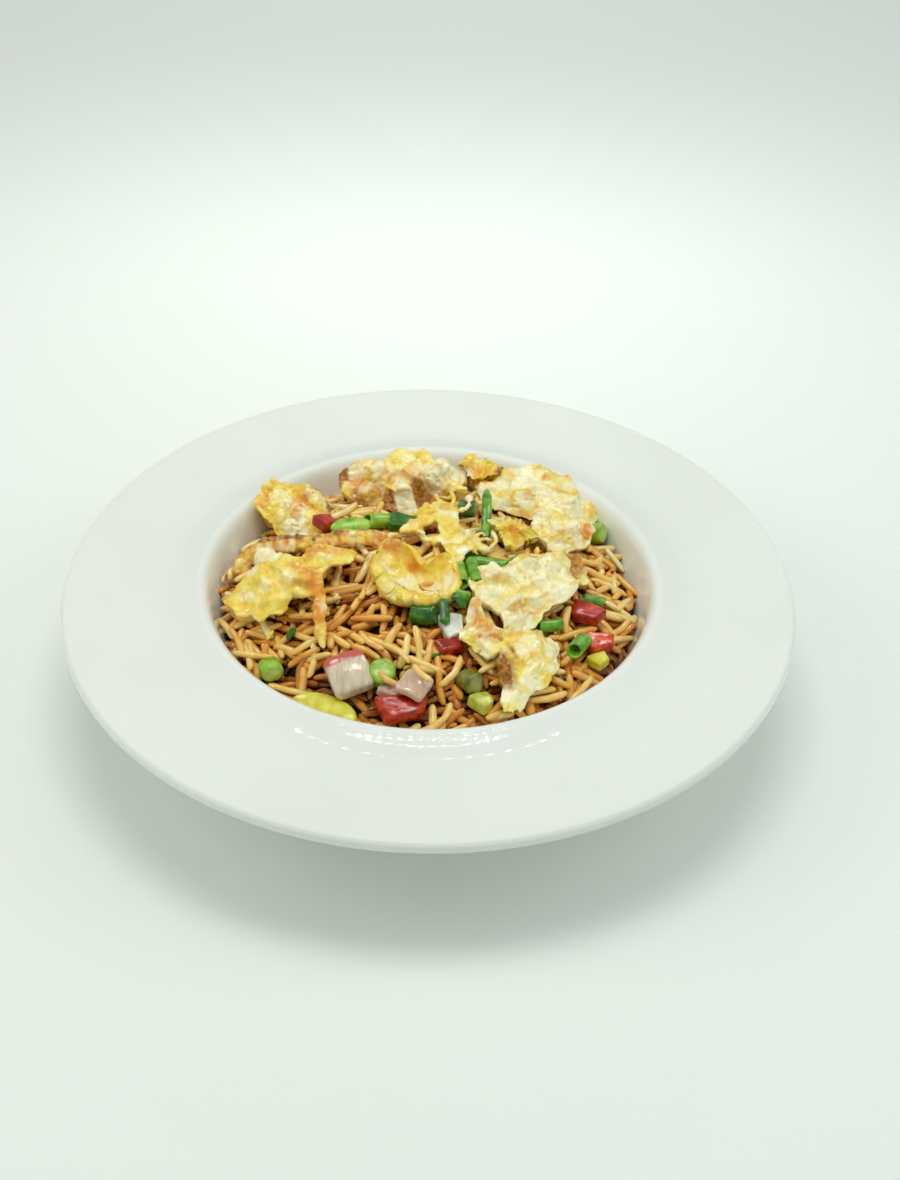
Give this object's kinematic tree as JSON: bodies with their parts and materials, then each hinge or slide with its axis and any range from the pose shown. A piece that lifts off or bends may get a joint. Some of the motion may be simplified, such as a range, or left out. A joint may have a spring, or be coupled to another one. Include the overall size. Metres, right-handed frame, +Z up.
{
  "type": "fried rice plate",
  "caption": "Wide-rimmed white porcelain plate whose deep well holds a heap of fried rice, topped with torn fried egg and cut vegetables.",
  "frame": {"origin": "on the table, under the middle of the plate", "axes": "+Z up out of the plate, -Y towards the diner"},
  "size_m": [0.28, 0.28, 0.0644],
  "materials": {
    "porcelain": "white glaze, glossy",
    "rice": "cooked long-grain rice stained tan by soy sauce, lightly oiled",
    "egg": "soft fried egg, pale yellow with white patches",
    "browned_egg": "egg fried brown, grainy",
    "green_bean": "cooked green bean, moist",
    "spring_onion": "cooked green leaf, moist",
    "red_pepper": "cooked red pepper, wet skin",
    "onion": "translucent cooked onion with a reddish skin",
    "squash": "yellow courgette, moist"
  },
  "bodies": {
    "root": {"bean_blue": "green_bean", "bean_dark": "green_bean", "bean_leaf_back": "green_bean", "bean_left": "green_bean", "bean_right_back": "green_bean", "bean_slice": "green_bean", "chive_across": "spring_onion", "chive_down": "spring_onion", "chive_long": "spring_onion", "dark_green_back": "spring_onion", "egg_back_left": "egg", "egg_back_middle": "egg", "egg_back_right": "egg", "egg_back_small": "egg", "egg_brown_chunk": "browned_egg", "egg_centre_fold": "egg", "egg_crumbs": "egg", "egg_left": "egg", "egg_right_fold": "egg", "egg_right_large": "egg", "egg_right_lower": "egg", "egg_strip": "browned_egg", "egg_web": "egg", "leek_across": "spring_onion", "leek_bit": "spring_onion", "leek_dark": "spring_onion", "leek_left": "spring_onion", "leek_right": "spring_onion", "leek_slice": "spring_onion", "olive_bean": "green_bean", "onion_chunk": "onion", "onion_petal": "onion", "onion_strip": "onion", "plate": "porcelain", "red_bit_middle": "red_pepper", "red_pepper_back": "red_pepper", "red_pepper_front": "red_pepper", "red_pepper_lower": "red_pepper", "red_pepper_upper": "red_pepper", "rice_heap": "rice", "spring_onion_back": "spring_onion", "spring_onion_lower": "spring_onion", "spring_onion_under_egg": "spring_onion", "spring_onion_upper": "spring_onion", "squash_bit_front": "squash", "squash_right": "squash", "squash_slice": "squash", "white_chunk": "onion"}
  },
  "joints": []
}
